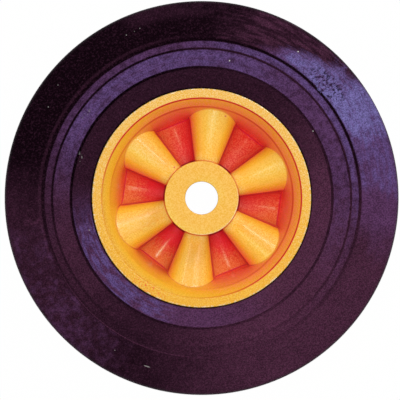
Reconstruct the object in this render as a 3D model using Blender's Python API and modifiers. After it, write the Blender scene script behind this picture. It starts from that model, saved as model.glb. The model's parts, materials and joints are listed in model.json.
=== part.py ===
"""Solid wheel: a thick rubber tyre on a one-piece moulded plastic wheel centre.

The wheel lies on its side with its axle along Z and its origin at the middle of the bore.
The wheel centre is a boss and a rim joined by a corrugated web: a ring of half-cones, six
that stand out to the front and six to the rear, all with their point at the wheel's middle.
The web keeps one wall thickness from boss to rim. In the mould two cores, one from each
side, leave that web between them, and it is modelled the same way here.
"""

import math

import bmesh
import bpy

MM = 0.001

# Tyre, with the bands of its side counted outwards from the bead
TYRE_DIAMETER = 250 * MM
TYRE_WIDTH = 60 * MM
TREAD_WIDTH = 50 * MM
TREAD_CROWN = 0.8 * MM
SHOULDER_RADIUS = 4 * MM
INNER_BAND_WIDTH = 13 * MM
MIDDLE_BAND_WIDTH = 12.3 * MM
OUTER_BAND_WIDTH = 5.8 * MM
BAND_STEP = 0.8 * MM
STEP_RUN = 1.2 * MM
BAND_SLOPE = 0.07
GROOVE_DEPTH = 1.1 * MM
GROOVE_WIDTH = 1.8 * MM
BEAD_HEIGHT = 0.4 * MM
BEAD_EDGE = 0.8 * MM

# Rim
RIM_DIAMETER = 138.4 * MM
RIM_WIDTH = 52 * MM
RIM_WALL = 4 * MM
FLANGE_THICKNESS = 4.5 * MM
RING_WIDTH = 5.7 * MM
BEVEL_WIDTH = 5.3 * MM
BEVEL_DEPTH = 6.6 * MM
WAIST_DIAMETER = 104.2 * MM
UPPER_DRAFT = 0.12
LOWER_DRAFT = 0.2

# Boss
BOSS_DIAMETER = 46.6 * MM
BOSS_DRAFT = 0.01
HUB_LENGTH = 64 * MM
EDGE_CHAMFER = 0.7 * MM
AXLE_DIAMETER = 20 * MM
AXLE_CLEARANCE = 0.8 * MM
BORE_CHAMFER = 0.5 * MM

# Corrugated web
CONE_COUNT = 6
WEB_WALL = 3.5 * MM

# Fit of the tyre on the rim, and how far the cutting shapes overshoot what they cut
SEAT_GAP = 0.3 * MM
OVERSHOOT = 5 * MM

# Facets
TURN_STEPS = 72
CONE_SEGMENTS = 12
SHOULDER_SEGMENTS = 4
WALL_SEGMENTS = 4
MERGE_DISTANCE = 0.01 * MM
SHARP_ANGLE = math.radians(30)

tyre_radius = TYRE_DIAMETER / 2
tyre_side = TYRE_WIDTH / 2
rim_radius = RIM_DIAMETER / 2
rim_face = RIM_WIDTH / 2
ring_radius = rim_radius - RING_WIDTH
crease_radius = ring_radius - BEVEL_WIDTH
crease_height = rim_face - BEVEL_DEPTH
waist_radius = WAIST_DIAMETER / 2
flange_foot = rim_face - FLANGE_THICKNESS
boss_radius = BOSS_DIAMETER / 2
boss_face = HUB_LENGTH / 2
bore_radius = (AXLE_DIAMETER + AXLE_CLEARANCE) / 2


def clear_scene():
    for scene_object in list(bpy.data.objects):
        bpy.data.objects.remove(scene_object, do_unlink=True)


def new_collection(name):
    collection = bpy.data.collections.new(name)
    bpy.context.scene.collection.children.link(collection)
    return collection


def new_material(name, colour, roughness):
    material = bpy.data.materials.new(name)
    material.use_nodes = True
    shader = material.node_tree.nodes["Principled BSDF"]
    shader.inputs["Base Color"].default_value = (*colour, 1)
    shader.inputs["Roughness"].default_value = roughness
    shader.inputs["Metallic"].default_value = 0
    material.diffuse_color = (*colour, 1)
    return material


def turned(name, profile, collection):
    """A solid turned about Z from a closed profile of (radius, height) that runs down its outer side."""
    count = len(profile)
    edges = [(i, (i + 1) % count) for i in range(count)]
    mesh = bpy.data.meshes.new(name)
    mesh.from_pydata([(radius, 0, height) for radius, height in profile], edges, [])
    made = bpy.data.objects.new(name, mesh)
    collection.objects.link(made)
    screw = made.modifiers.new("Turn", "SCREW")
    screw.axis = "Z"
    screw.angle = math.tau
    screw.steps = TURN_STEPS
    screw.render_steps = TURN_STEPS
    screw.use_merge_vertices = True
    screw.merge_threshold = MERGE_DISTANCE
    return made


def with_rear(front):
    """The front half of a profile, from one mid-plane point to another, closed by its mirrored half."""
    return front + [(radius, -height) for radius, height in reversed(front[1:-1])]


def cut(target, cutter):
    cutter.hide_render = True
    cutter.display_type = "WIRE"
    boolean = target.modifiers.new("Cut " + cutter.name, "BOOLEAN")
    boolean.operation = "DIFFERENCE"
    boolean.solver = "EXACT"
    boolean.object = cutter


def finish(made, material):
    """Apply the modifiers, then shade the turned faces smooth between sharp edges."""
    bpy.context.view_layer.update()
    evaluated = made.evaluated_get(bpy.context.evaluated_depsgraph_get())
    mesh = bpy.data.meshes.new_from_object(evaluated)
    made.modifiers.clear()
    made.data = mesh
    mesh.shade_smooth()
    mesh.set_sharp_from_angle(angle=SHARP_ANGLE)
    mesh.materials.clear()
    mesh.materials.append(material)


def seat_profile(gap):
    """Front half of the trough that the tyre sits in, from the middle out to the flange's edge."""
    return [
        (waist_radius + RIM_WALL + gap, 0),
        (crease_radius + RIM_WALL + gap, flange_foot - gap),
        (rim_radius + gap, flange_foot - gap),
    ]


def tyre_side_profile():
    """The bands of the tyre's side: one that leans in to the rim, a groove, and two stepped bands."""
    bead = rim_radius + SEAT_GAP
    groove = bead + INNER_BAND_WIDTH
    inner_step = groove + MIDDLE_BAND_WIDTH
    outer_step = inner_step + OUTER_BAND_WIDTH
    outer_foot = tyre_side - BAND_STEP
    inner_head = outer_foot + BAND_SLOPE * (OUTER_BAND_WIDTH - STEP_RUN)
    inner_foot = inner_head - BAND_STEP
    groove_outer = groove + GROOVE_WIDTH / 2
    groove_head = inner_foot + BAND_SLOPE * (inner_step - STEP_RUN - groove_outer)
    return [
        (bead, rim_face + BEAD_HEIGHT - BEAD_EDGE),
        (bead + BEAD_EDGE, rim_face + BEAD_HEIGHT),
        (groove - GROOVE_WIDTH / 2, groove_head),
        (groove, groove_head - GROOVE_DEPTH),
        (groove_outer, groove_head),
        (inner_step - STEP_RUN, inner_foot),
        (inner_step, inner_head),
        (outer_step - STEP_RUN, outer_foot),
        (outer_step, tyre_side),
    ]


def tread_profile():
    """From the rounded shoulder down to the middle of the slightly crowned tread."""
    centre_r = tyre_radius - TREAD_CROWN - SHOULDER_RADIUS
    centre_z = TREAD_WIDTH / 2 - SHOULDER_RADIUS
    points = []
    for step in range(SHOULDER_SEGMENTS + 1):
        turn = math.radians(75 - 70 * step / SHOULDER_SEGMENTS)
        radius = centre_r + SHOULDER_RADIUS * math.cos(turn)
        points.append((radius, centre_z + SHOULDER_RADIUS * math.sin(turn)))
    return points + [(tyre_radius, 0)]


def make_tyre(collection):
    front = seat_profile(SEAT_GAP) + tyre_side_profile() + tread_profile()
    tyre = turned("tyre", with_rear(front), collection)
    finish(tyre, new_material("rubber", (0.042, 0.013, 0.032), 0.55))
    return tyre


def blank_profile():
    """The wheel centre before the cores open it: bore, boss ends, rim faces and tyre seat."""
    front = [
        (bore_radius, 0),
        (bore_radius, boss_face - BORE_CHAMFER),
        (bore_radius + BORE_CHAMFER, boss_face),
        (boss_radius + OVERSHOOT, boss_face),
        (crease_radius, rim_face),
        (rim_radius - EDGE_CHAMFER, rim_face),
        (rim_radius, rim_face - EDGE_CHAMFER),
    ]
    return with_rear(front + list(reversed(seat_profile(0))))


def bowl_wall():
    """The rim's curved inner wall, from the crease down to the middle, with more draft near the crease."""
    flare = crease_radius - waist_radius - UPPER_DRAFT * crease_height
    points = []
    for step in range(WALL_SEGMENTS + 1):
        share = 1 - step / WALL_SEGMENTS
        height = share * crease_height
        points.append((waist_radius + UPPER_DRAFT * height + flare * share ** 2, height))
    return points


def dish_profile():
    """The space between boss and rim that one core fills, before the web's surface limits its depth."""
    bottom = -rim_face
    top = max(boss_face, rim_face) + OVERSHOOT
    boss_edge = boss_face - EDGE_CHAMFER
    boss_foot = boss_radius + BOSS_DRAFT * (boss_edge - bottom)
    return [
        (ring_radius + EDGE_CHAMFER + top - rim_face, top),
        (ring_radius + EDGE_CHAMFER, rim_face),
        (ring_radius, rim_face - EDGE_CHAMFER),
        *bowl_wall(),
        (waist_radius + LOWER_DRAFT * bottom, bottom),
        (boss_foot, bottom),
        (boss_radius, boss_edge),
        (boss_radius - EDGE_CHAMFER, boss_face),
        (boss_radius - EDGE_CHAMFER - top + boss_face, top),
    ]


def corrugation(distance):
    """A closed line round the web's front surface, whose low points lie this far from the axle."""
    half_pitch = math.pi / CONE_COUNT
    lean = math.asin(WEB_WALL / 2 / distance)
    points = []
    for index in range(2 * CONE_COUNT):
        side = 1 if index % 2 == 0 else -1
        spread = half_pitch / 2 + side * lean
        cone_radius = distance * math.sin(spread)
        along = distance * math.cos(spread)
        heading = index * half_pitch
        for segment in range(CONE_SEGMENTS):
            turn = math.pi * (segment + 0.5) / CONE_SEGMENTS
            across = -cone_radius * math.cos(turn)
            x = along * math.cos(heading) - across * math.sin(heading)
            y = along * math.sin(heading) + across * math.cos(heading)
            points.append((x, y, side * cone_radius * math.sin(turn)))
    return points


def lofted(name, sections, collection):
    """A ring lofted through closed sections with equal numbers of points, and back to the first."""
    shape = bmesh.new()
    loops = [[shape.verts.new(point) for point in section] for section in sections]
    count = len(sections[0])
    for loop, following in zip(loops, loops[1:] + loops[:1]):
        for i in range(count):
            j = (i + 1) % count
            shape.faces.new((loop[i], loop[j], following[j], following[i]))
    bmesh.ops.recalc_face_normals(shape, faces=shape.faces)
    mesh = bpy.data.meshes.new(name)
    shape.to_mesh(mesh)
    shape.free()
    made = bpy.data.objects.new(name, mesh)
    collection.objects.link(made)
    return made


def make_core(name, collection):
    """One mould core: the dish between boss and rim, down to the corrugated surface of the web."""
    inner_line = corrugation(bore_radius)
    outer_line = corrugation(rim_radius)
    floor = -rim_face - OVERSHOOT
    outer_floor = [(x, y, floor) for x, y, z in outer_line]
    inner_floor = [(x, y, floor) for x, y, z in inner_line]
    web = lofted(name + "_web", [inner_line, outer_line, outer_floor, inner_floor], collection)
    core = turned(name, dish_profile(), collection)
    web.parent = core
    cut(core, web)
    return core


def make_wheel_centre(collection, cutters):
    centre = turned("wheel_centre", blank_profile(), collection)
    front_core = make_core("front_core", cutters)
    rear_core = make_core("rear_core", cutters)
    rear_core.rotation_euler = (math.pi, 0, math.pi / CONE_COUNT)
    cut(centre, front_core)
    cut(centre, rear_core)
    finish(centre, new_material("yellow_plastic", (0.89, 0.51, 0.09), 0.4))
    return centre


clear_scene()
wheel = new_collection("solid_wheel")
cutters = new_collection("cutters")
make_tyre(wheel)
make_wheel_centre(wheel, cutters)
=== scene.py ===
"""The looks of the solid wheel: a moulded rubber tyre on a one-piece yellow plastic wheel centre.

The wheel lies on its side and the camera looks straight down its axle, as the photograph does.
Lengths are metres. Azimuths are degrees in the picture, anticlockwise from its right side.
"""

import json
import math

import bmesh
import bpy
from mathutils import Matrix, Vector

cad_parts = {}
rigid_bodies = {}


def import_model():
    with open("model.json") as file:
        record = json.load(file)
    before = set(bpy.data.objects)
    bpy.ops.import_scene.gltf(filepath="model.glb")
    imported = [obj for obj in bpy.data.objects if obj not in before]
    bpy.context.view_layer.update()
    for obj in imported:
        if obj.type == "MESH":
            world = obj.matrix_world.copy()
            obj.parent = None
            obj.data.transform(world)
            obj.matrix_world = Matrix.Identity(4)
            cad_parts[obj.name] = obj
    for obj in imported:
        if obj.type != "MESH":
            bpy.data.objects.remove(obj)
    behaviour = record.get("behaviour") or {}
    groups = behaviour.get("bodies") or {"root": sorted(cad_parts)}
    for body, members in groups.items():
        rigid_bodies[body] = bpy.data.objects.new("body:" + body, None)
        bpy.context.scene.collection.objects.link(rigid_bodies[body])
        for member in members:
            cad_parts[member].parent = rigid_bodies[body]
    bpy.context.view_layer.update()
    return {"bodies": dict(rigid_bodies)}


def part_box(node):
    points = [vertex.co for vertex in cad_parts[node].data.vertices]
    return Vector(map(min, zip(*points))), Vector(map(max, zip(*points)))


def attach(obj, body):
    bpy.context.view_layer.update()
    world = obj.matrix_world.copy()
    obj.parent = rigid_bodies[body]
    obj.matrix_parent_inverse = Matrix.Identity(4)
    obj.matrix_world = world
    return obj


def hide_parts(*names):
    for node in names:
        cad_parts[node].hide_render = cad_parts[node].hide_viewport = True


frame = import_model()
wheel_body = list(frame["bodies"])[0]


# The wheel centre
# One injection moulding in yellow plastic: a bored boss and a rim, joined by a corrugated web of
# half-cones that stand out to the front and the rear in turn. Each line of the web runs straight
# from the boss to the rim's curved inner wall, and every corner has a small moulded radius.

MM = 0.001
CONE_AZIMUTH = 21.9
CONES = 6
WEB_WALL = 3.5 * MM
BORE_RADIUS = 10.4 * MM
BORE_ROUND = 0.6 * MM
BOSS_RADIUS = 23.3 * MM
BOSS_DRAFT = 0.01
BOSS_ROUND = 0.5 * MM
RIM_FACE = 26 * MM
RING_WIDTH = 5.7 * MM
BEVEL_WIDTH = 5.3 * MM
BEVEL_DEPTH = 6.6 * MM
WAIST_RADIUS = 52.1 * MM
UPPER_DRAFT = 0.12
LOWER_DRAFT = 0.2
RIM_WALL = 4 * MM
FLANGE = 4.5 * MM
EDGE_ROUND = 0.7 * MM
CREASE_ROUND = 1 * MM
FILLET = 1.1 * MM
WELD = 0.001 * MM
COLUMNS_PER_CONE = 24
WEB_ROWS = 14
WALL_ROWS = 8
FILLET_ROWS = 7
BOSS_MARK = 0.1
BOWL_MARK = 0.22
BOWL_FOOT_MARKS = (0.2, 0.58)

centre_low, centre_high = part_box("wheel_centre")
BOSS_FACE = centre_high[2]
BOSS_EDGE = BOSS_FACE - 1.5 * BOSS_ROUND
RIM_RADIUS = centre_high[0]
RING_RADIUS = RIM_RADIUS - RING_WIDTH
CREASE_RADIUS = RING_RADIUS - BEVEL_WIDTH
CREASE_HEIGHT = RIM_FACE - BEVEL_DEPTH
WALL_TOP = CREASE_HEIGHT - CREASE_ROUND
FLANGE_FOOT = RIM_FACE - FLANGE


class Socket:
    """A socket of a node tree. Arithmetic on it adds Math nodes to that tree."""

    def __init__(self, graph, link):
        self.graph = graph
        self.link = link

    def __add__(self, other):
        return self.graph.math("ADD", self, other)

    def __sub__(self, other):
        return self.graph.math("SUBTRACT", self, other)

    def __mul__(self, other):
        return self.graph.math("MULTIPLY", self, other)

    def __truediv__(self, other):
        return self.graph.math("DIVIDE", self, other)

    def __pow__(self, other):
        return self.graph.math("POWER", self, other)

    def __rsub__(self, other):
        return self.graph.math("SUBTRACT", other, self)

    def __rtruediv__(self, other):
        return self.graph.math("DIVIDE", other, self)

    __radd__ = __add__
    __rmul__ = __mul__


class Graph:
    """A node tree, of a shader or of geometry. Its add method makes every node."""

    def __init__(self, tree):
        self.tree = tree

    def add(self, kind, settings=None, inputs=None, output=0):
        node = self.tree.nodes.new(kind)
        for name, value in (settings or {}).items():
            if name == "stops":
                set_stops(node.color_ramp, value)
            else:
                setattr(node, name, value)
        for key, value in (inputs or {}).items():
            if isinstance(value, Socket):
                self.tree.links.new(value.link, node.inputs[key])
            elif isinstance(value, list):
                for item in value:
                    self.tree.links.new(item.link, node.inputs[key])
            else:
                node.inputs[key].default_value = value
        return Socket(self, node.outputs[output])

    def math(self, operation, *values):
        return self.add("ShaderNodeMath", {"operation": operation}, dict(enumerate(values)))

    def rise(self, value, low, high):
        """Climbs smoothly from 0 at low to 1 at high."""
        limits = {"Value": value, "From Min": low, "From Max": high}
        return self.add("ShaderNodeMapRange", {"interpolation_type": "SMOOTHSTEP"}, limits)

    def window(self, value, low, high, soft):
        """Is 1 between low and high, and 0 outside them."""
        return self.rise(value, low - soft, low + soft) * self.rise(value, high + soft, high - soft)

    def mix(self, share, first, second):
        """Goes from the first colour to the second as the share goes from 0 to 1."""
        inputs = {0: share, 6: colour_value(first), 7: colour_value(second)}
        return self.add("ShaderNodeMix", {"data_type": "RGBA"}, inputs, 2)

    def noise(self, place, scale, detail):
        return self.add("ShaderNodeTexNoise", {}, {"Vector": place, "Scale": scale, "Detail": detail})

    def vector(self, operation, *values):
        return self.add("ShaderNodeVectorMath", {"operation": operation}, dict(enumerate(values)))

    def dot(self, first, second):
        return self.add("ShaderNodeVectorMath", {"operation": "DOT_PRODUCT"}, {0: first, 1: second}, "Value")

    def attribute(self, name):
        return self.add("ShaderNodeAttribute", {"attribute_name": name}, {}, "Fac")


def colour_value(colour):
    return colour if isinstance(colour, Socket) else (*colour, 1)


def set_stops(ramp, stops):
    while len(ramp.elements) > 1:
        ramp.elements.remove(ramp.elements[0])
    ramp.elements[0].position = stops[0][0]
    ramp.elements[0].color = (*stops[0][1], 1)
    for position, colour in stops[1:]:
        ramp.elements.new(position).color = (*colour, 1)


def rounded(corners, segments=4):
    """A profile of (radius, height) points from corners that carry a rounding as third value."""
    points = []
    for index, (across, up, rounding) in enumerate(corners):
        corner = Vector((across, up))
        if rounding == 0:
            points.append(corner)
            continue
        back = (Vector(corners[index - 1][:2]) - corner).normalized()
        ahead = (Vector(corners[index + 1][:2]) - corner).normalized()
        half = back.angle(ahead) / 2
        reach = rounding / math.tan(half)
        middle = corner + (back + ahead).normalized() * rounding / math.sin(half)
        start = corner + back * reach - middle
        sweep = start.angle_signed(corner + ahead * reach - middle)
        for step in range(segments + 1):
            points.append(middle + Matrix.Rotation(-sweep * step / segments, 2) @ start)
    return [tuple(point) for point in points]


def profile_object(name, points):
    """A chain of vertices whose x is a radius and whose z is a height."""
    mesh = bpy.data.meshes.new(name)
    edges = [(i, i + 1) for i in range(len(points) - 1)]
    mesh.from_pydata([(radius, 0, height) for radius, height in points], edges, [])
    made = bpy.data.objects.new(name, mesh)
    bpy.context.scene.collection.objects.link(made)
    return made


def bowl_radius(height):
    """The radius of the rim's inner wall at a height above the wheel's middle."""
    flare = CREASE_RADIUS - WAIST_RADIUS - UPPER_DRAFT * CREASE_HEIGHT
    return WAIST_RADIUS + UPPER_DRAFT * height + flare * (height / CREASE_HEIGHT) ** 2


hub_corners = [
    (BORE_RADIUS, 0, 0),
    (BORE_RADIUS, BOSS_FACE, BORE_ROUND),
    (BOSS_RADIUS, BOSS_FACE, BOSS_ROUND),
    (BOSS_RADIUS, BOSS_EDGE, 0),
]
rim_corners = [
    (bowl_radius(WALL_TOP), WALL_TOP, 0),
    (CREASE_RADIUS, CREASE_HEIGHT, CREASE_ROUND),
    (RING_RADIUS, RIM_FACE, EDGE_ROUND),
    (RIM_RADIUS, RIM_FACE, EDGE_ROUND),
    (RIM_RADIUS, FLANGE_FOOT, 0),
    (CREASE_RADIUS + RIM_WALL, FLANGE_FOOT, 0),
    (WAIST_RADIUS + RIM_WALL, 0, 0),
]


def corrugated_tree(material):
    """Geometry nodes that wind strips of faces round the axle, each by its own rule, front and rear.

    The points carry four marks for the material: depth goes from 0 on the proudest lines of the
    web to 1 on the lowest, and keeps to BOSS_MARK and BOWL_MARK where the web's walls end, crease
    is 1 along inner corners, crest is 1 along the cones' lines that are highest or lowest, and rim
    is 1 on the rim.
    """
    tree = bpy.data.node_groups.new("corrugated_wheel_centre", "GeometryNodeTree")
    sizes = {
        "Web wall": WEB_WALL,
        "Boss radius": BOSS_RADIUS,
        "Boss draft": BOSS_DRAFT,
        "Boss edge": BOSS_EDGE,
        "Waist radius": WAIST_RADIUS,
        "Crease radius": CREASE_RADIUS,
        "Crease height": CREASE_HEIGHT,
        "Wall top": WALL_TOP,
        "Upper draft": UPPER_DRAFT,
        "Lower draft": LOWER_DRAFT,
        "Fillet": FILLET,
        "Ring radius": RING_RADIUS,
        "Edge round": EDGE_ROUND,
        "Weld": WELD,
    }
    face = tree.interface
    face.new_socket("Geometry", in_out="OUTPUT", socket_type="NodeSocketGeometry")
    kinds = {"Cones": "NodeSocketInt", "Columns per cone": "NodeSocketInt"}
    kinds.update({name: "NodeSocketFloat" for name in sizes})
    kinds.update({"Hub profile": "NodeSocketObject", "Rim profile": "NodeSocketObject"})
    identifiers = {}
    for name, kind in kinds.items():
        identifiers[name] = face.new_socket(name, in_out="INPUT", socket_type=kind).identifier

    graph = Graph(tree)
    group = tree.nodes.new("NodeGroupInput")
    given = {output.name: Socket(graph, output) for output in group.outputs if output.name}
    cones = given["Cones"]
    columns = cones * 2 * given["Columns per cone"]

    place = graph.add("GeometryNodeInputPosition")
    around = graph.add("ShaderNodeSeparateXYZ", {}, {0: place}, "X") + 0.5
    along = graph.add("ShaderNodeSeparateXYZ", {}, {0: place}, "Y") + 0.5
    pitch = math.pi / cones
    lobes = around * cones * 2
    lobe = graph.math("FLOOR", lobes)
    turn = (lobes - lobe) * math.pi
    side = 1 - graph.math("FLOORED_MODULO", lobe, 2) * 2
    slope = graph.math("TANGENT", pitch / 2)
    shift = side * given["Web wall"] / 2 / graph.math("COSINE", pitch / 2)
    flatness = graph.math("COSINE", turn) ** 2
    level_angle = (lobes - 0.5) * pitch
    exposure = side * graph.math("SINE", turn)

    def cone_radius(distance):
        return slope * distance + shift

    def height_at(distance):
        return exposure * cone_radius(distance)

    def across_at(distance):
        return cone_radius(distance) * graph.math("COSINE", turn)

    def angle_at(distance):
        return lobe * pitch - graph.math("ARCTAN2", across_at(distance), distance)

    def reach(radius):
        """How far along its cone's axis this line of the web is at a radius from the axle."""
        scale = 1 + slope * slope * flatness
        middle = slope * shift * flatness
        rest = shift * shift * flatness - radius * radius
        return (graph.math("SQRT", middle * middle - scale * rest) - middle) / scale

    def meet(radius_at):
        """Where this line of the web meets a sloping wall. Each try starts at the last one's height."""
        distance = reach(radius_at(0))
        for step in range(3):
            distance = reach(radius_at(height_at(distance)))
        return distance

    def boss_at(height):
        return given["Boss radius"] + given["Boss draft"] * (given["Boss edge"] - height)

    def bowl_at(height):
        crease = given["Crease height"]
        upper = given["Upper draft"]
        flare = given["Crease radius"] - given["Waist radius"] - upper * crease
        above = graph.math("MAXIMUM", height, 0)
        below = graph.math("MINIMUM", height, 0)
        share = above / crease
        upper_wall = upper * above + flare * share * share
        return given["Waist radius"] + upper_wall + given["Lower draft"] * below

    def blend(first, second, share):
        return first + (second - first) * share

    def polar(radius, angle, height):
        across = radius * graph.math("COSINE", angle)
        up = radius * graph.math("SINE", angle)
        return graph.add("ShaderNodeCombineXYZ", {}, {"X": across, "Y": up, "Z": height})

    def web_point(distance):
        across = across_at(distance)
        radius = graph.math("SQRT", distance * distance + across * across)
        return polar(radius, angle_at(distance), height_at(distance))

    def arch(first, corner, last):
        """A rounded corner: a curve from the first point to the last that bends at the corner."""
        def mixed(one, other):
            inputs = {"Factor": along, "A": one, "B": other}
            return graph.add("ShaderNodeMix", {"data_type": "VECTOR"}, inputs, 1)
        return mixed(mixed(first, corner), mixed(corner, last))

    def strip(rows, position, depth, crease=0.0, crest=0.0, rim=0.0):
        grid_sizes = {"Size X": 1.0, "Size Y": 1.0, "Vertices X": columns + 1, "Vertices Y": rows}
        made = graph.add("GeometryNodeMeshGrid", {}, grid_sizes)
        for name, value in {"depth": depth, "crease": crease, "crest": crest, "rim": rim}.items():
            settings = {"data_type": "FLOAT", "domain": "POINT"}
            marked = {"Geometry": made, "Name": name, "Value": value}
            made = graph.add("GeometryNodeStoreNamedAttribute", settings, marked)
        return graph.add("GeometryNodeSetPosition", {}, {"Geometry": made, "Position": position})

    def turned_strip(profile, first_angle, last_angle, depth):
        outline = graph.add("GeometryNodeObjectInfo", {}, {"Object": profile}, "Geometry")
        counted = {"component": "MESH"}
        rows = graph.add("GeometryNodeAttributeDomainSize", counted, {0: outline}, "Point Count")
        row = graph.math("ROUND", along * (rows - 1))
        settings = {"data_type": "FLOAT_VECTOR", "domain": "POINT"}
        sampled = {"Geometry": outline, "Value": place, "Index": row}
        point = graph.add("GeometryNodeSampleIndex", settings, sampled)
        radius = graph.add("ShaderNodeSeparateXYZ", {}, {0: point}, "X")
        height = graph.add("ShaderNodeSeparateXYZ", {}, {0: point}, "Z")
        ring_edge = given["Ring radius"]
        inner = graph.rise(radius, ring_edge, ring_edge - given["Edge round"])
        rim = graph.rise(radius, 0.5 * ring_edge, 0.6 * ring_edge)
        turned_place = polar(radius, blend(first_angle, last_angle, along), height)
        return strip(rows, turned_place, inner * depth, rim=rim)

    fillet = given["Fillet"]
    at_boss = meet(boss_at)
    at_rim = meet(bowl_at)
    boss_angle = angle_at(at_boss)
    rim_angle = angle_at(at_rim)
    boss_foot = height_at(at_boss)
    rim_foot = height_at(at_rim)
    web_start = at_boss + fillet
    web_end = at_rim - fillet
    web_depth = 0.5 - exposure * 0.5
    wall_depth = blend(*BOWL_FOOT_MARKS, web_depth)
    steepness = graph.math("ABSOLUTE", exposure)
    flank_line = graph.rise(steepness, 0.4, 0.14)
    crest_line = graph.rise(steepness, 0.97, 1.0)
    corner_line = (4 * along * (1 - along)) ** 3
    rim_fillet_depth = blend(web_depth, wall_depth, along)
    boss_height = blend(given["Boss edge"], boss_foot + fillet, along)
    bowl_height = blend(rim_foot + fillet, given["Wall top"], along)
    boss_fillet_top = polar(boss_at(boss_foot + fillet), boss_angle, boss_foot + fillet)
    boss_corner = polar(boss_at(boss_foot), boss_angle, boss_foot)
    rim_corner = polar(bowl_at(rim_foot), rim_angle, rim_foot)
    rim_fillet_top = polar(bowl_at(rim_foot + fillet), rim_angle, rim_foot + fillet)
    boss_arch = arch(boss_fillet_top, boss_corner, web_point(web_start))
    rim_arch = arch(web_point(web_end), rim_corner, rim_fillet_top)
    web_place = web_point(blend(web_start, web_end, along))
    boss_wall = polar(boss_at(boss_height), boss_angle, boss_height)
    bowl_wall = polar(bowl_at(bowl_height), rim_angle, bowl_height)
    strips = [
        turned_strip(given["Hub profile"], level_angle, boss_angle, 0.0),
        strip(WALL_ROWS, boss_wall, blend(BOSS_MARK, web_depth, along), along),
        strip(FILLET_ROWS, boss_arch, web_depth, 1 - along * along),
        strip(WEB_ROWS, web_place, web_depth, flank_line, crest_line),
        strip(FILLET_ROWS, rim_arch, rim_fillet_depth, corner_line, rim=along ** 4),
        strip(WALL_ROWS, bowl_wall, blend(wall_depth, BOWL_MARK, along), rim=1.0),
        turned_strip(given["Rim profile"], rim_angle, level_angle, BOWL_MARK),
    ]
    front = graph.add("GeometryNodeJoinGeometry", {}, {0: strips})
    front = graph.add("GeometryNodeFlipFaces", {}, {0: front})
    swing = graph.add("ShaderNodeCombineXYZ", {}, {"X": math.pi, "Z": pitch})
    rear = graph.add("GeometryNodeTransform", {}, {"Geometry": front, "Rotation": swing})
    whole = graph.add("GeometryNodeJoinGeometry", {}, {0: [front, rear]})
    whole = graph.add("GeometryNodeMergeByDistance", {}, {"Geometry": whole, "Distance": given["Weld"]})
    whole = graph.add("GeometryNodeSetShadeSmooth", {}, {0: whole})
    whole = graph.add("GeometryNodeRealizeInstances", {}, {0: whole})
    whole = graph.add("GeometryNodeSetMaterial", {}, {"Geometry": whole, "Material": material})
    output = tree.nodes.new("NodeGroupOutput")
    tree.links.new(whole.link, output.inputs[0])
    return tree, identifiers, sizes


def new_material(name, uniform):
    """A material with its shader's plain values set, and a graph for the values that vary."""
    material = bpy.data.materials.new(name)
    material.use_nodes = True
    shader = material.node_tree.nodes["Principled BSDF"]
    for key, value in uniform.items():
        shader.inputs[key].default_value = value
    return material, Graph(material.node_tree), shader


def dress(graph, shader, varying):
    for key, value in varying.items():
        graph.tree.links.new(value.link, shader.inputs[key])


def axle_distance(graph, place):
    """How far a place is from the axle, and that place with its height left out."""
    flat = graph.vector("MULTIPLY", place, (1, 1, 0))
    return graph.add("ShaderNodeVectorMath", {"operation": "LENGTH"}, {0: flat}, "Value"), flat


def picture_way(azimuth):
    """A unit vector across the axle towards an azimuth of the picture."""
    angle = math.radians(azimuth - CONE_AZIMUTH)
    return (math.cos(angle), math.sin(angle), 0)


def facing(graph, flat, distance, azimuth):
    """The cosine of the angle round the axle between a place and an azimuth of the picture."""
    return graph.dot(flat, picture_way(azimuth)) / distance


def mark(graph, flat, azimuth, distance, half_depth, half_length):
    """A soft oval at an azimuth and a distance from the axle: 1 in its middle, 0 outside it."""
    along = graph.dot(flat, picture_way(azimuth))
    across = graph.dot(flat, picture_way(azimuth + 90))
    reach = ((along - distance) / half_depth) ** 2 + (across / half_length) ** 2
    return graph.rise(reach, 1.0, 0.4)


# Painted shade: the yellow deepens to orange and red with depth, in the hollows between the cones
# where light goes from wall to wall. Each stop is a depth, as the tree marks it, and the colour
# painted there. A dot is an azimuth and a distance from the axle. The flecks add half the patch's
# depth and length.
DEPTH_SHADE_COLOURS = [
    (0.0, (0.92, 0.515, 0.068)),
    (0.03, (0.94, 0.61, 0.08)),
    (0.1, (0.97, 0.57, 0.042)),
    (0.2, (0.98, 0.51, 0.035)),
    (0.3, (1.0, 0.41, 0.052)),
    (0.42, (1.0, 0.28, 0.074)),
    (0.55, (1.0, 0.165, 0.09)),
    (0.75, (0.98, 0.10, 0.07)),
]
# Colours for the valleys' painted shade and light, the ring, the cones' painted highlight, the painted light
# at the boss's foot, the painted shade lines, the flecks and dots, the pale marks and the grain.
SHADED_VALLEY_FOOT = (0.72, 0.018, 0.032)
LIT_VALLEY_END = (0.77, 0.265, 0.058)
RING_PALE = (0.88, 0.53, 0.105)
RING_AMBER = (0.88, 0.46, 0.02)
CREST_HIGHLIGHT_YELLOW = (0.94, 0.71, 0.18)
FOOT_LIGHT_YELLOW = (1.0, 0.74, 0.14)
CRIMSON = (0.62, 0.012, 0.05)
BRICK_RED = (0.72, 0.008, 0.026)
DEEP_CRIMSON = (0.32, 0.005, 0.012)
FLECK_AND_SHADE_ORANGE = (0.85, 0.16, 0.02)
PALE_YELLOW = (1.0, 0.85, 0.5)
GRAIN_LOW = (0.94, 0.82, 0.28)
GRAIN_HIGH = (1.03, 1.1, 1.72)
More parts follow.
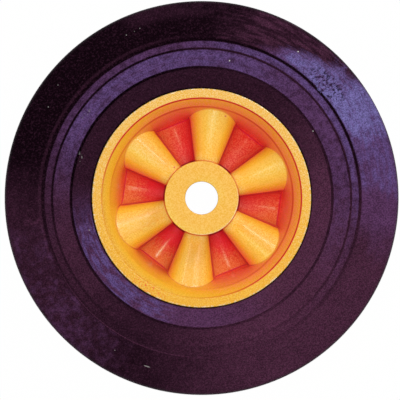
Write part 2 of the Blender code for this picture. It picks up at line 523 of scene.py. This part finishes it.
# Azimuths: the sunny side of the painted light and shade, the bowl's lit side, the side of the rim's shadow
# in the valleys, the ring's amber side, and the sides of the painted highlights on the crests and the boss's
# edge. Then the spans of the valleys' painted light, of their painted highlight and of the painted light at
# the boss's foot.
SUNNY_SIDE = 48
LIT_BOWL_SIDE = 208
RIM_SHADOW_SIDE = 68
AMBER_RING_SIDE = 268
CREST_HIGHLIGHT_SIDE = 122
BOSS_HIGHLIGHT_SIDE = 310
VALLEY_LIGHT_SPAN = (28 * MM, 48 * MM)
STREAK_START = (30 * MM, 45 * MM)
FOOT_LIGHT_END = 31 * MM
FOOT_LINE = BOSS_RADIUS + 0.2 * MM
CONE_FOOT_WIDTH = 0.6 * MM
VALLEY_FOOT_WIDTH = 1 * MM
LINE_WIDTH = 0.75 * MM
LINE_SOFT = 0.2 * MM
# The span of the mottled pale line at the rim's outer edge.
RIM_PALE_EDGE = (RIM_RADIUS - 1.2 * MM, RIM_RADIUS - 0.4 * MM)
DOT_SIZE = 0.7 * MM
DOTS = [(73.7, 53.9 * MM), (131.6, 26 * MM), (50.2, 48.4 * MM)]
FLECKS = (238, 66 * MM, 4 * MM, 16 * MM)

plastic, graph, shader = new_material("yellow_plastic", {"IOR": 1.49})
spot = graph.add("ShaderNodeTexCoord", {}, {}, "Object")
normal = graph.add("ShaderNodeTexCoord", {}, {}, "Normal")
depth = graph.attribute("depth")
crease = graph.attribute("crease")
crest = graph.attribute("crest")
rim = graph.attribute("rim")
radius, flat = axle_distance(graph, spot)
cloud = graph.noise(spot, 90.0, 4.0)
mottle = graph.noise(spot, 380.0, 3.0)
freckle = graph.noise(spot, 800.0, 2.0)
grain = graph.rise(graph.noise(spot, 1300.0, 1.0), 0.38, 0.62)
draw = graph.noise(graph.vector("NORMALIZE", flat), 45.0, 2.0)
lean = graph.dot(normal, picture_way(SUNNY_SIDE))
sunny = facing(graph, flat, radius, SUNNY_SIDE)

# Painted light and shade by direction: the colour follows the depth, and is paler on the bowl's lit
# side, redder on its shaded side, and paler on flanks that lean to the sunny side.
shaded = 0.21 - 0.31 * graph.rise(facing(graph, flat, radius, LIT_BOWL_SIDE), -0.3, 1.15)
rough = (cloud - 0.5) * 0.05 + (draw - 0.5) * 0.08 + (grain - 0.5) * 0.09
tone = depth + shaded * rim - lean * 0.15 * (1 - rim) + rough * graph.rise(depth, 0.0, 0.06)
tint = graph.add("ShaderNodeValToRGB", {"stops": DEPTH_SHADE_COLOURS}, {0: tone})

# Painted shade and light in the valleys: deep red where the boss shades them, more orange towards
# the rim, redder at the rim end where the rim casts its shadow, and paler where they lean to the sun.
outward = graph.rise(radius + (mottle - 0.5) * 12 * MM, *VALLEY_LIGHT_SPAN)
near_valley_light = 0.12 + sunny * 0.14
far_valley_light = 0.50 - facing(graph, flat, radius, RIM_SHADOW_SIDE) * 0.28
glow = near_valley_light + (far_valley_light - near_valley_light) * outward + lean * 0.24 + (grain - 0.5) * 0.3
valley = graph.mix(graph.rise(glow, 0.0, 1.0), SHADED_VALLEY_FOOT, LIT_VALLEY_END)
tint = graph.mix(graph.rise(depth, 0.45, 0.62) * (1 - rim), tint, valley)

# The ring's flat face, with amber freckles on one side.
on_ring = graph.rise(radius, RING_RADIUS - EDGE_ROUND, RING_RADIUS)
freckled = facing(graph, flat, radius, AMBER_RING_SIDE) + (mottle - 0.5) * 0.9 + (freckle - 0.5) * 4
ring = graph.mix(graph.rise(freckled, -0.7, 1.0), RING_PALE, RING_AMBER)
tint = graph.mix(on_ring, tint, ring)

# A painted highlight along the cones' crests, brighter on one side, and painted light where the
# cones meet the boss, which lifts the shade that the boss casts there.
crest_highlight = (0.15 + draw * 0.7) * (0.5 + 0.54 * facing(graph, flat, radius, CREST_HIGHLIGHT_SIDE))
tint = graph.mix(crest * graph.rise(depth, 0.5, 0.4) * crest_highlight, tint, CREST_HIGHLIGHT_YELLOW)
off_boss = graph.rise(radius, BOSS_RADIUS, BOSS_RADIUS + FILLET)
near_boss = graph.rise(radius, FOOT_LIGHT_END, BOSS_RADIUS) * off_boss
tint = graph.mix(near_boss * graph.rise(depth, 0.35, 0.15), tint, FOOT_LIGHT_YELLOW)

# A painted highlight: a pale streak along each valley's lowest line, fainter on the sunny side.
streak = crest ** 9 * (0.4 + 0.6 * graph.rise(draw, 0.4, 0.6)) * graph.rise(radius, *STREAK_START)
streak = streak * graph.rise(depth, 0.7, 0.9) * (0.55 - sunny * 0.42)
tint = graph.mix(streak, tint, PALE_YELLOW)

# Painted shade: thin dark lines in the web's corners, at the ring's inner edge, round the bowl and
# at the boss, where shade falls.
line_strength = 0.95 + grain * 0.3
crease_lines = crease * (0.35 + 0.65 * graph.rise(depth, 0.15, 0.42))
tint = graph.mix(crease_lines * line_strength, tint, CRIMSON)
ring_line = graph.window(radius, RING_RADIUS - 1.2 * LINE_WIDTH, RING_RADIUS, LINE_WIDTH / 2)
ring_line = ring_line * graph.rise(sunny, -1.05, 0.1)
bowl_line = graph.window(radius, CREASE_RADIUS - 1.2 * LINE_WIDTH, CREASE_RADIUS, LINE_WIDTH / 2)
bowl_line = bowl_line * graph.rise(sunny, -1.0, 0.4) * 0.6
tint = graph.mix(graph.math("MAXIMUM", ring_line, bowl_line) * line_strength, tint, BRICK_RED)
cone_foot = graph.window(radius, FOOT_LINE, FOOT_LINE + CONE_FOOT_WIDTH, LINE_SOFT)
tint = graph.mix(cone_foot * graph.rise(depth, 0.35, 0.15) * (0.75 - sunny * 0.25), tint, FLECK_AND_SHADE_ORANGE)
valley_foot = graph.window(radius, FOOT_LINE, FOOT_LINE + VALLEY_FOOT_WIDTH, 1.25 * LINE_SOFT)
tint = graph.mix(valley_foot * graph.rise(depth, 0.2, 0.6), tint, DEEP_CRIMSON)

# A mottled pale line at the rim's outer edge, a painted highlight on one side of the boss's rounded
# edge, rusty flecks, a few dark dots and the grain.
rim_edge = graph.rise(radius, *RIM_PALE_EDGE)
tint = graph.mix(rim_edge * graph.rise(mottle, 0.4, 0.6) * 0.6, tint, PALE_YELLOW)
boss_highlight = graph.window(radius, BOSS_RADIUS - BOSS_ROUND, BOSS_RADIUS, LINE_SOFT)
boss_highlight = boss_highlight * graph.rise(facing(graph, flat, radius, BOSS_HIGHLIGHT_SIDE), 0.2, 1.0)
tint = graph.mix(boss_highlight * 0.7, tint, PALE_YELLOW)
tint = graph.mix(mark(graph, flat, *FLECKS) * graph.rise(freckle, 0.56, 0.66), tint, FLECK_AND_SHADE_ORANGE)
for azimuth, distance in DOTS:
    dot = mark(graph, flat, azimuth, distance, DOT_SIZE, DOT_SIZE)
    tint = graph.mix(dot * 0.7, tint, CRIMSON)
grained = {0: 0.8 + on_ring * 0.2, 6: tint, 7: graph.mix(grain, GRAIN_LOW, GRAIN_HIGH)}
tint = graph.add("ShaderNodeMix", {"data_type": "RGBA", "blend_type": "MULTIPLY"}, grained, 2)
bump = graph.add("ShaderNodeBump", {}, {"Strength": 0.05, "Distance": 0.2 * MM, "Height": grain})
roughness = 0.16 + draw * 0.13 + graph.rise(depth, 0.45, 0.7) * 0.3
dress(graph, shader, {"Base Color": tint, "Roughness": roughness, "Normal": bump})


def plain_mesh(name, made):
    """The evaluated object as a new object with a plain mesh and no modifier."""
    evaluated = made.evaluated_get(bpy.context.evaluated_depsgraph_get())
    mesh = bpy.data.meshes.new_from_object(evaluated)
    bpy.data.objects.remove(made)
    mesh.name = name
    plain = bpy.data.objects.new(name, mesh)
    bpy.context.scene.collection.objects.link(plain)
    return plain


hub_profile = profile_object("hub_profile", rounded(hub_corners))
rim_profile = profile_object("rim_profile", rounded(rim_corners))
tree, identifiers, sizes = corrugated_tree(plastic)
carrier = bpy.data.objects.new("centre_carrier", bpy.data.meshes.new("centre_carrier"))
bpy.context.scene.collection.objects.link(carrier)
corrugate = carrier.modifiers.new("Corrugate", "NODES")
corrugate.node_group = tree
values = {"Cones": CONES, "Columns per cone": COLUMNS_PER_CONE, **sizes}
values.update({"Hub profile": hub_profile, "Rim profile": rim_profile})
for name, value in values.items():
    corrugate[identifiers[name]] = value
wheel_centre = plain_mesh("moulded_wheel_centre", carrier)
bpy.data.objects.remove(hub_profile)
bpy.data.objects.remove(rim_profile)
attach(wheel_centre, wheel_body)
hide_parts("wheel_centre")


# The tyre
# One ring of solid black rubber, moulded onto the rim. Its sides carry an inner band that leans in
# to the rim, a groove, two stepped bands and a broad band that falls to the shoulder. The rubber
# has a plum cast, and a painted sheen, the light it reflects in plum, violet and blue, lies on it in
# patches.

TURNS = 192
SEAT_GAP = 0.3 * MM
BEAD_HEIGHT = 0.4 * MM
BEAD_ROUND = 0.7 * MM
INNER_BAND = 13 * MM
MIDDLE_BAND = 12.3 * MM
NARROW_BAND = 5.8 * MM
GROOVE_WIDTH = 1.8 * MM
GROOVE_DEPTH = 1.1 * MM
BAND_STEP = 0.8 * MM
STEP_RUN = 1.2 * MM
STEP_ROUND = 0.3 * MM
BAND_SLOPE = 0.07
TREAD_EDGE = 25 * MM
TREAD_CROWN = 0.8 * MM
SHOULDER_RADIUS = 4 * MM
SHARP_ANGLE = 40

tyre_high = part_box("tyre")[1]
TYRE_RADIUS = tyre_high[0]
TYRE_SIDE = tyre_high[2]
BEAD = RIM_RADIUS + SEAT_GAP
BEAD_FACE = RIM_FACE + BEAD_HEIGHT
GROOVE = BEAD + INNER_BAND
GROOVE_OUTER = GROOVE + GROOVE_WIDTH / 2
INNER_STEP = GROOVE + MIDDLE_BAND
OUTER_STEP = INNER_STEP + NARROW_BAND
OUTER_FOOT = TYRE_SIDE - BAND_STEP
INNER_HEAD = OUTER_FOOT + BAND_SLOPE * (NARROW_BAND - STEP_RUN)
INNER_FOOT = INNER_HEAD - BAND_STEP
GROOVE_HEAD = INNER_FOOT + BAND_SLOPE * (INNER_STEP - STEP_RUN - GROOVE_OUTER)

tyre_corners = [
    (WAIST_RADIUS + RIM_WALL + SEAT_GAP, 0, 0),
    (CREASE_RADIUS + RIM_WALL + SEAT_GAP, FLANGE_FOOT - SEAT_GAP, 0),
    (BEAD, FLANGE_FOOT - SEAT_GAP, 0),
    (BEAD, BEAD_FACE, BEAD_ROUND),
    (GROOVE - GROOVE_WIDTH / 2, GROOVE_HEAD, STEP_ROUND),
    (GROOVE, GROOVE_HEAD - GROOVE_DEPTH, STEP_ROUND / 2),
    (GROOVE_OUTER, GROOVE_HEAD, STEP_ROUND),
    (INNER_STEP - STEP_RUN, INNER_FOOT, STEP_ROUND),
    (INNER_STEP, INNER_HEAD, STEP_ROUND),
    (OUTER_STEP - STEP_RUN, OUTER_FOOT, STEP_ROUND),
    (OUTER_STEP, TYRE_SIDE, STEP_ROUND),
    (TYRE_RADIUS - TREAD_CROWN, TREAD_EDGE, SHOULDER_RADIUS),
    (TYRE_RADIUS, 0, 0),
]
tyre_half = rounded(tyre_corners)
tyre_outline = tyre_half + [(radius, -height) for radius, height in reversed(tyre_half[1:-1])]


def turned(name, outline, material):
    """A closed outline of (radius, height) turned about the axle into a smooth plain mesh."""
    made = profile_object(name + "_outline", outline + [outline[0]])
    screw = made.modifiers.new("Turn", "SCREW")
    screw.steps = TURNS
    screw.render_steps = TURNS
    screw.use_merge_vertices = True
    screw.merge_threshold = WELD
    plain = plain_mesh(name, made)
    shape = bmesh.new()
    shape.from_mesh(plain.data)
    bmesh.ops.remove_doubles(shape, verts=shape.verts, dist=WELD)
    bmesh.ops.recalc_face_normals(shape, faces=shape.faces)
    shape.to_mesh(plain.data)
    shape.free()
    plain.data.shade_smooth()
    plain.data.set_sharp_from_angle(angle=math.radians(SHARP_ANGLE))
    plain.data.materials.append(material)
    return plain


def specks(graph, place, scale, size, share):
    """Small round dots, in a share of the cells of a loose grid."""
    cells = {"Vector": place, "Scale": scale}
    near = graph.add("ShaderNodeTexVoronoi", {}, cells, "Distance")
    lot = graph.add("ShaderNodeTexVoronoi", {}, cells, "Color")
    lot = graph.add("ShaderNodeSeparateColor", {}, {0: lot}, 0)
    return graph.rise(near, size, size * 0.5) * graph.rise(lot, 1 - share, 1 - share + 0.01)


# The rubber's own near-black, the colours of the painted sheen, which also serve a smear and a scuff, and
# the colours of dust and of the worn tread.
DARK_RUBBER = (0.0015, 0.0003, 0.001)
PLUM_SHEEN_AND_SMEAR = (0.068, 0.020, 0.047)
VIOLET_SHEEN = (0.080, 0.030, 0.089)
BLUE_SHEEN = (0.100, 0.063, 0.200)
SKY_SHEEN_AND_SCUFF = (0.145, 0.125, 0.330)
DUST = (0.42, 0.42, 0.40)
TREAD_GREY = (0.050, 0.035, 0.046)
RUBBER_SHINE = (1, 0.4, 0.75, 1)
WIPES_ROUND = (9, 9, 9)
RINGS_PER_METRE = 520
ROWS_PER_METRE = 900
PARTING_LINE = 0.35 * MM
# How softly the side's bands, and the painted sheen on them, begin and end.
BAND_SOFT = 0.4 * MM
OUTER_HALF = (112 * MM, 119 * MM)
BRIGHT_END = (123 * MM, 117 * MM)
BRIGHT_SLANT = 38 * MM
BRIGHT_RAGGED = 14 * MM
BRIGHT_END_SIDE = 130
FRINGE = (OUTER_STEP + 0.9 * MM, OUTER_STEP + 2.6 * MM)
LIT_LIP = (OUTER_STEP - 0.3 * MM, OUTER_STEP + 0.1 * MM)
TREAD_BLEND = 2 * MM
SPOT_SIZE = 0.5 * MM
FAINT_SIZE = 0.4 * MM
DUST_SPOTS = [(56.6, 110.6 * MM), (78.5, 88.4 * MM), (31.0, 82.0 * MM)]
FAINT_SPOTS = [(110.0, 114.0 * MM), (114.8, 113.3 * MM), (141.8, 115.4 * MM), (149.3, 112.5 * MM)]
# A mark is an azimuth, a distance from the axle, half its depth across the side and half its length.
SCUFF = (42, 106.5 * MM, 8 * MM, 17 * MM)
SMEAR = (188, 108 * MM, 7 * MM, 2.2 * MM)
SCRAPE = (162, 81 * MM, 2 * MM, 6 * MM)
FAINT_SCRAPE = (144, 90 * MM, 1.5 * MM, 5 * MM)
SCRATCH = (252, 111.7 * MM, 0.4 * MM, 2.4 * MM)

rubber_gloss = {"IOR": 1.5, "Specular IOR Level": 0.035, "Specular Tint": RUBBER_SHINE}
rubber, graph, shader = new_material("rubber", rubber_gloss)
spot = graph.add("ShaderNodeTexCoord", {}, {}, "Object")
radius, flat = axle_distance(graph, spot)
height = graph.math("ABSOLUTE", graph.add("ShaderNodeSeparateXYZ", {}, {0: spot}, "Z"))

# Noise in clouds and blotches, and noise drawn out along rings, as wiping and rolling leave it.
cloud = graph.noise(spot, 40.0, 5.0)
blotch = graph.noise(spot, 240.0, 3.0)
chips = graph.noise(spot, 520.0, 2.0)
grain = graph.rise(graph.noise(spot, 1200.0, 1.0), 0.38, 0.62)
haze_speckle = graph.rise(graph.noise(spot, 850.0, 2.0), 0.44, 0.76)
film = graph.rise(graph.noise(spot, 1000.0, 1.0), 0.42, 0.7)
around = graph.vector("MULTIPLY", graph.vector("NORMALIZE", flat), WIPES_ROUND)
rings = graph.add("ShaderNodeCombineXYZ", {}, {"Z": radius * RINGS_PER_METRE})
ringed = graph.vector("ADD", around, rings)
wiped = graph.noise(ringed, 1.0, 3.0)
rows = graph.add("ShaderNodeCombineXYZ", {}, {"Z": height * ROWS_PER_METRE})
rolled = graph.noise(graph.vector("ADD", ringed, rows), 1.0, 3.0)
streaks = graph.rise(wiped, 0.38, 0.62)
patchy = 0.4 + 0.6 * graph.rise(blotch * 0.4 + wiped * 0.6, 0.36, 0.6)
blotchy = 0.5 + 0.66 * graph.rise(blotch * 0.7 + wiped * 0.3, 0.36, 0.58)
clouded = graph.rise(cloud * 0.5 + blotch * 0.5, 0.42, 0.62)

# The parts of the tyre's side and its tread, each 1 on the part and 0 beside it.
side = graph.rise(height, TREAD_EDGE - SHOULDER_RADIUS, TREAD_EDGE)
whole_side = side * graph.rise(radius, BEAD, BEAD + BAND_SOFT)
inner_band = graph.window(radius, BEAD + BEAD_ROUND, GROOVE - GROOVE_WIDTH / 2, BAND_SOFT)
middle_band = graph.window(radius, GROOVE_OUTER, INNER_STEP - STEP_RUN, BAND_SOFT)
narrow_band = graph.window(radius, INNER_STEP + STEP_ROUND, OUTER_STEP - 1.3 * STEP_RUN, BAND_SOFT)
outer_band = side * graph.rise(radius, OUTER_STEP, OUTER_STEP + 3 * BAND_SOFT)
upper_bands = middle_band + narrow_band * 0.75
seams = whole_side - inner_band - middle_band - narrow_band - outer_band
inner_seams = seams * graph.rise(radius, OUTER_STEP, INNER_STEP)
fringe = graph.window(radius, *FRINGE, 1.5 * BAND_SOFT)
outer_half = outer_band * graph.rise(radius, *OUTER_HALF)
tread = graph.rise(height, TREAD_EDGE, TREAD_EDGE - SHOULDER_RADIUS)
tread = tread * graph.rise(radius, OUTER_STEP, TYRE_RADIUS - TREAD_BLEND)
parting = graph.rise(height, PARTING_LINE, PARTING_LINE * 0.4) * tread

# The brightest painted sheen on the outer band ends at a ragged line that slants across it.
slanted = radius + facing(graph, flat, radius, BRIGHT_END_SIDE) * BRIGHT_SLANT
slanted = slanted + (wiped - 0.5) * BRIGHT_RAGGED
bright_part = outer_band * graph.rise(slanted, *BRIGHT_END)
wander = (cloud - 0.5) * 0.2 + (blotch - 0.5) * 0.06 + (wiped - 0.5) * 0.06


def sector(azimuth, spread, edge):
    """Is 1 within a spread of an azimuth and falls to 0 over an edge, which the noise breaks up."""
    near = facing(graph, flat, radius, azimuth) + wander
    low = math.cos(math.radians(min(spread + edge, 180)))
    high = math.cos(math.radians(max(spread - edge, 0)))
    return graph.rise(near, low, high)


def painted_sheen(patches):
    """One colour's painted sheen. Each patch is a part of the tyre, an azimuth, spread, edge and strength.
    """
    total = 0
    for part, azimuth, spread, edge, strength in patches:
        total = total + part * sector(azimuth, spread, edge) * strength
    return total


# Four colours of painted sheen, the light that the dark rubber reflects, from the dullest to the
# brightest. On the middle and the narrow band the blue keeps to a broad arc round the top of the
# picture.
middle_arc = middle_band * sector(78, 91, 24) * patchy
narrow_arc = narrow_band * sector(75, 90, 20) * patchy
plum_patches = [
    (whole_side, 315, 36, 34, 0.5),
    (fringe, 150, 44, 24, 0.22),
    (inner_band, 305, 72, 50, 0.72),
    (upper_bands, 318, 45, 40, 0.14),
    (upper_bands, 200, 20, 20, 0.35),
    (outer_band, 315, 48, 40, 0.28),
    (outer_band, 208, 22, 22, 0.4),
    (outer_band * (0.2 + 0.45 * streaks), 52, 17, 20, 1),
    (outer_half, 98, 10, 10, 0.2),
    (seams, 252, 54, 34, 0.24),
    (inner_seams, 45, 40, 25, 0.3),
]
violet_patches = [
    (middle_band * blotchy, 78, 94, 30, 0.75),
    (narrow_band * blotchy, 74, 98, 36, 0.62),
    (narrow_band * blotchy, 30, 40, 24, 0.16),
    (inner_band, 240, 48, 22, 0.75),
    (outer_band, 10, 20, 12, 1),
    (bright_part, 47, 22, 9, 1),
    (outer_band * clouded, 216, 12, 18, 0.5),
]
blue_patches = [
    (middle_arc, 114, 36, 36, 0.5),
    (narrow_arc, 42, 30, 30, 0.7),
    (narrow_arc, 130, 20, 20, 0.1),
    (outer_band * patchy, 23, 10, 14, 0.85),
    (bright_part * patchy, 43, 17, 9, 0.95),
    (inner_band * streaks, 221, 22, 18, 0.9),
]
sky_patches = [
    (outer_band * patchy, 31, 7, 8, 0.35),
    (bright_part * patchy, 41, 12, 9, 0.6),
]
# An even painted haze of plum over the side, speckled, and stronger on the inner and upper bands.
even_plum = whole_side * haze_speckle * 0.26 + inner_band * 0.27 + upper_bands * 0.28
plum = graph.math("MINIMUM", even_plum + painted_sheen(plum_patches), 1)
tint = graph.mix(plum, DARK_RUBBER, PLUM_SHEEN_AND_SMEAR)
tint = graph.mix(painted_sheen(violet_patches), tint, VIOLET_SHEEN)
tint = graph.mix(middle_arc * 0.13 + narrow_arc * 0.05 + painted_sheen(blue_patches), tint, BLUE_SHEEN)
tint = graph.mix(painted_sheen(sky_patches), tint, SKY_SHEEN_AND_SCUFF)

# The outer step's lip catches the light, and handling has left a scuff, a smear, scrapes and dust.
lit_lip = graph.window(radius, *LIT_LIP, 0.25 * MM)
tint = graph.mix(lit_lip * sector(238, 30, 14) * 0.9, tint, PLUM_SHEEN_AND_SMEAR)
scuffed = mark(graph, flat, *SCUFF)
tint = graph.mix(scuffed * graph.rise(chips, 0.52, 0.6) * 0.8, tint, SKY_SHEEN_AND_SCUFF)
tint = graph.mix(scuffed * graph.rise(chips, 0.46, 0.4) * 0.75, tint, DARK_RUBBER)
tint = graph.mix(mark(graph, flat, *SMEAR) * graph.rise(blotch, 0.4, 0.6) * 0.6, tint, PLUM_SHEEN_AND_SMEAR)
scraped = mark(graph, flat, *SCRAPE) + mark(graph, flat, *FAINT_SCRAPE) * 0.5
tint = graph.mix(scraped * graph.rise(chips, 0.56, 0.64) * 0.35, tint, DUST)
tint = graph.mix(mark(graph, flat, *SCRATCH) * 0.5, tint, DUST)
for azimuth, distance in DUST_SPOTS:
    tint = graph.mix(mark(graph, flat, azimuth, distance, SPOT_SIZE, SPOT_SIZE), tint, DUST)
for azimuth, distance in FAINT_SPOTS:
    tint = graph.mix(mark(graph, flat, azimuth, distance, FAINT_SIZE, FAINT_SIZE) * 0.5, tint, DUST)
tint = graph.mix(specks(graph, spot, scale=150.0, size=0.08, share=0.04) * 0.5, tint, DUST)
tint = graph.mix(film * plum * 0.015, tint, DUST)

# The tread is greyer where it rolls, with chips and the line where the mould's halves met.
worn = graph.rise(rolled * 0.6 + cloud * 0.4, 0.36, 0.62)
tint = graph.mix(tread * (0.25 + worn * 0.6), tint, TREAD_GREY)
tint = graph.mix(tread * graph.rise(chips, 0.6, 0.7) * 0.7, tint, DARK_RUBBER)
tint = graph.mix(parting * 0.6, tint, DARK_RUBBER)
shade = 0.55 + cloud * 0.45 + blotch * 0.45 + (grain - 0.5) * 0.6
tint = graph.add("ShaderNodeHueSaturation", {}, {"Color": tint, "Value": shade})
relief = grain + parting * 2
bump = graph.add("ShaderNodeBump", {}, {"Strength": 0.25, "Distance": 0.3 * MM, "Height": relief})
dress(graph, shader, {"Base Color": tint, "Roughness": 0.42 + cloud * 0.2, "Normal": bump})

tyre = turned("rubber_tyre", tyre_outline, rubber)
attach(tyre, wheel_body)
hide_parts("tyre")


# The camera
# It looks straight down the axle from far away, so the rim and the boss show no perspective. It is
# turned about the axle until the front cones point the way that they do in the photograph.

PHOTO_SIZE = 400
TYRE_PIXELS = 197
CENTRE_PIXELS = (201.6, 198.0)
CAMERA_DISTANCE = 5
SENSOR = 36
metres_per_pixel = TYRE_RADIUS / TYRE_PIXELS

camera_data = bpy.data.cameras.new("camera")
camera_data.sensor_width = SENSOR
camera_data.lens = SENSOR * CAMERA_DISTANCE / (PHOTO_SIZE * metres_per_pixel)
camera_data.clip_end = 10 * CAMERA_DISTANCE
camera = bpy.data.objects.new("camera", camera_data)
camera_turn = Matrix.Rotation(math.radians(-CONE_AZIMUTH), 3, "Z")
aside = Vector((PHOTO_SIZE / 2 - CENTRE_PIXELS[0], CENTRE_PIXELS[1] - PHOTO_SIZE / 2, 0))
aside = aside * metres_per_pixel
camera.location = camera_turn @ aside + Vector((0, 0, CAMERA_DISTANCE))
camera.rotation_euler = (0, 0, math.radians(-CONE_AZIMUTH))
bpy.context.scene.collection.objects.link(camera)
bpy.context.scene.camera = camera


# The floor, the light and the background
# A pale floor lies under the boss. A broad soft lamp hangs straight over the wheel, a small one stands
# at the picture's upper right, and seven narrow lamps only draw the streaks of gloss on the cones and
# in the valleys. The floor and the world are white for whatever sees them past the wheel.

FLOOR_SIZE = 6
FLOOR_GAP = 0.05 * MM
FLOOR_GREY = (0.8, 0.8, 0.8, 1)
WHITE = (1, 1, 1, 1)
WHITE_SHARE = 0.99
WORLD_TINT = (1, 0.95, 0.91, 1)
WORLD_STRENGTH = 0.3
OVERHEAD_TINT = (1, 0.98, 0.97)
SIDE_TINT = (1, 0.98, 1)
STREAK_TINT = (1, 0.97, 0.92)
LAMP_DISTANCE = 1.6
STREAK_WIDTH = 0.2
# Each streak lamp's azimuth in the picture, its angle off the camera's axis, and its strength.
STREAK_LAMPS = [
    (8, 44, 1.7),
    (99, 41, 1.9),
    (54, 36, 0.8),
    (128, 44, 0.7),
    (36, 44, 0.8),
    (183, 32, 0.8),
    (262, 30, 0.8),
]


def seen_share(graph):
    """Is 1 for rays that show the background itself and 0 for rays that only gather light."""
    share = graph.add("ShaderNodeLightPath", {}, {}, "Is Camera Ray")
    share = share + graph.add("ShaderNodeLightPath", {}, {}, "Is Glossy Ray")
    return share + graph.add("ShaderNodeLightPath", {}, {}, "Is Transmission Ray")


floor_mesh = bpy.data.meshes.new("floor")
shape = bmesh.new()
bmesh.ops.create_grid(shape, x_segments=1, y_segments=1, size=FLOOR_SIZE / 2)
bmesh.ops.translate(shape, vec=(0, 0, centre_low[2] - FLOOR_GAP), verts=shape.verts)
shape.to_mesh(floor_mesh)
shape.free()
floor = bpy.data.objects.new("floor", floor_mesh)
bpy.context.scene.collection.objects.link(floor)
pale, graph, shader = new_material("pale_floor", {"Base Color": FLOOR_GREY, "Roughness": 0.9})
glow = graph.add("ShaderNodeEmission", {}, {"Color": WHITE, "Strength": 1.0})
shown = {0: seen_share(graph) * WHITE_SHARE, 1: Socket(graph, shader.outputs[0]), 2: glow}
mixed = graph.add("ShaderNodeMixShader", {}, shown)
output = graph.tree.nodes["Material Output"]
graph.tree.links.new(mixed.link, output.inputs["Surface"])
floor_mesh.materials.append(pale)

world = bpy.data.worlds.new("world")
world.use_nodes = True
plain_light = world.node_tree.nodes["Background"]
plain_light.inputs["Color"].default_value = WORLD_TINT
plain_light.inputs["Strength"].default_value = WORLD_STRENGTH
graph = Graph(world.node_tree)
white = graph.add("ShaderNodeBackground", {}, {"Color": WHITE, "Strength": 1.0})
shown = {0: seen_share(graph), 1: Socket(graph, plain_light.outputs[0]), 2: white}
mixed = graph.add("ShaderNodeMixShader", {}, shown)
graph.tree.links.new(mixed.link, graph.tree.nodes["World Output"].inputs["Surface"])
bpy.context.scene.world = world


def picture_direction(azimuth, off_axis):
    """A unit vector towards a place that lies off the camera's axis, at an azimuth of the picture."""
    across = Vector(picture_way(azimuth)) * math.sin(math.radians(off_axis))
    return across + Vector((0, 0, math.cos(math.radians(off_axis))))


def lamp(name, azimuth, off_axis, distance, width, strength, colour):
    """A round soft lamp that faces the wheel's middle."""
    data = bpy.data.lights.new(name, "AREA")
    data.shape = "DISK"
    data.size = width
    data.energy = strength
    data.color = colour
    made = bpy.data.objects.new(name, data)
    towards = picture_direction(azimuth, off_axis)
    made.location = towards * distance
    made.rotation_euler = towards.to_track_quat("Z", "Y").to_euler()
    bpy.context.scene.collection.objects.link(made)
    return made


overhead = lamp("overhead_lamp", 0, 0, distance=5.6, width=2.8, strength=182, colour=OVERHEAD_TINT)
overhead.visible_glossy = False
lamp("side_lamp", 58, 50, distance=LAMP_DISTANCE, width=0.6, strength=6, colour=SIDE_TINT)
for azimuth, off_axis, watts in STREAK_LAMPS:
    streak_lamp = lamp("streak_lamp", azimuth, off_axis, LAMP_DISTANCE, STREAK_WIDTH, watts, STREAK_TINT)
    streak_lamp.visible_diffuse = False

scene = bpy.context.scene
scene.view_settings.view_transform = "Standard"
